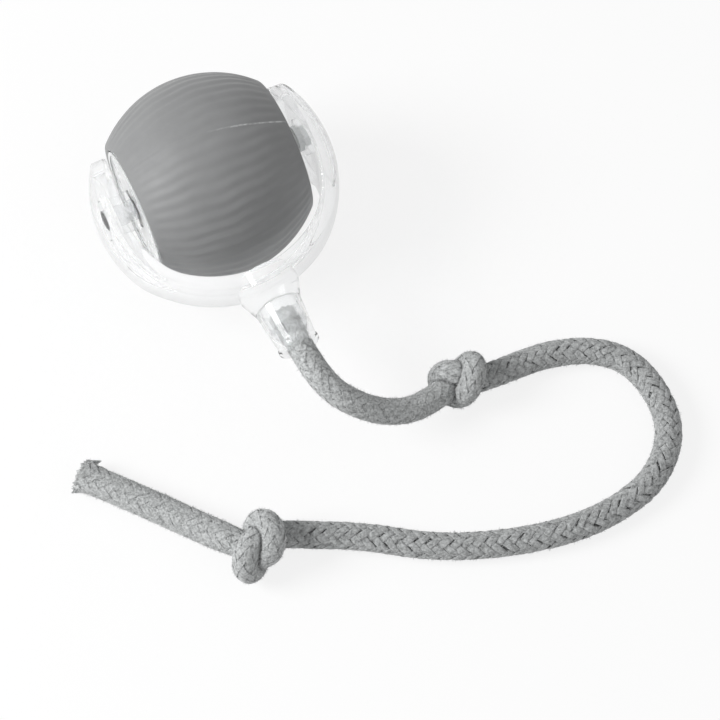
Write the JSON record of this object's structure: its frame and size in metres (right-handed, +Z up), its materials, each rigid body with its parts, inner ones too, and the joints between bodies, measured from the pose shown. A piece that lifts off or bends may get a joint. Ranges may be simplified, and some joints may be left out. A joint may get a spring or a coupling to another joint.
{
  "type": "rolling dog ball with tail",
  "caption": "Motor-driven ribbed silicone ball that turns in a clear C-shaped yoke, with a screw collar that holds a knotted braided rope tail.",
  "frame": {"origin": "the point on the floor below the ball's centre, where the tread meets the floor", "axes": "+X along the ball's axle towards the drive hub and the charging port, -Y from the ball's centre along the neck towards the rope, +Z up"},
  "size_m": [0.1675, 0.1701, 0.06],
  "materials": {
    "clear_plastic": "polished clear polycarbonate",
    "milky_plastic": "satin moulded, clear but milky",
    "grey_silicone": "matt silicone with fine ribs",
    "grey_rope": "braided cotton, slightly fluffy",
    "black_plastic": "satin black acetal",
    "grey_plastic": "satin grey acetal",
    "white_plastic": "satin white acetal",
    "frosted_plastic": "satin translucent white",
    "bright_steel": "ground and polished",
    "screw_steel": "nickel plated",
    "motor_steel": "nickel plated sheet",
    "ferrite": "dull dark grey ferrite",
    "copper_winding": "enamelled copper on iron",
    "cell_foil": "satin pouch foil",
    "black_foam": "dense foam tape",
    "board_green": "solder mask",
    "chip_black": "moulded epoxy",
    "led_white": "clear resin over phosphor",
    "switch_metal": "stamped tin-plated steel",
    "clear_silicone": "soft translucent silicone",
    "wire_jacket": "PVC insulation"
  },
  "bodies": {
    "yoke": {"yoke": "clear_plastic", "rope_collar": "clear_plastic", "rope_collet": "clear_plastic", "rope_lead": "grey_rope", "rope_knot_near": "grey_rope", "rope_loop": "grey_rope", "rope_knot_far": "grey_rope", "rope_tail": "grey_rope", "pivot_pin": "bright_steel", "pivot_washer": "frosted_plastic", "drive_hub": "grey_plastic", "output_shaft": "bright_steel", "output_gear": "white_plastic"},
    "ball": {"tread_sleeve": "grey_silicone", "left_shell": "milky_plastic", "right_shell": "milky_plastic", "shell_gasket": "clear_silicone", "shell_screws": "screw_steel", "screw_plugs": "clear_silicone", "pivot_bush": "grey_plastic", "drive_bush": "grey_plastic", "idler_pin": "bright_steel", "gearbox_frame": "frosted_plastic", "gearbox_cover": "frosted_plastic", "gearbox_screws": "screw_steel", "motor_can": "motor_steel", "motor_end_cap": "black_plastic", "motor_magnets": "ferrite", "motor_screws": "screw_steel", "motor_leads": "wire_jacket", "battery_cell": "cell_foil", "battery_pad": "black_foam", "battery_leads": "wire_jacket", "circuit_board": "board_green", "control_chip": "chip_black", "status_leds": "led_white", "vibration_sensor": "switch_metal", "usb_socket": "switch_metal", "port_anchor": "clear_silicone", "tact_switch": "switch_metal"},
    "first_gear": {"first_reduction_gear": "white_plastic"},
    "second_gear": {"second_reduction_gear": "white_plastic"},
    "motor_rotor": {"motor_shaft": "bright_steel", "motor_armature": "copper_winding", "motor_pinion": "white_plastic"},
    "button": {"power_button": "white_plastic", "switch_plunger": "black_plastic"},
    "cover": {"port_cover": "clear_silicone"}
  },
  "joints": [
    {"name": "ball_spin", "type": "hinge", "parent": "yoke", "child": "ball", "pos_m": [0, 0, 0.03], "axis": [1, 0, 0], "continuous": true},
    {"name": "second_gear_spin", "type": "hinge", "parent": "ball", "child": "second_gear", "pos_m": [0, 0, 0.042], "axis": [1, 0, 0], "continuous": true},
    {"name": "first_gear_spin", "type": "hinge", "parent": "ball", "child": "first_gear", "pos_m": [0, 0, 0.03], "axis": [1, 0, 0], "continuous": true},
    {"name": "rotor_spin", "type": "hinge", "parent": "ball", "child": "motor_rotor", "pos_m": [0, 0, 0.018], "axis": [1, 0, 0], "continuous": true},
    {"name": "button_press", "type": "slide", "parent": "ball", "child": "button", "axis": [-1, 0, 0], "range_m": [0, 0.0004], "stiffness_N_per_m": 2000},
    {"name": "cover_hinge", "type": "hinge", "parent": "ball", "child": "cover", "pos_m": [0.02272, 0, 0.02033], "axis": [0, -1, 0], "range_deg": [0, 90]}
  ],
  "couplings": [
    {"joint": "second_gear_spin", "follows": "ball_spin", "ratio": 3},
    {"joint": "first_gear_spin", "follows": "ball_spin", "ratio": -9},
    {"joint": "rotor_spin", "follows": "ball_spin", "ratio": 27}
  ]
}
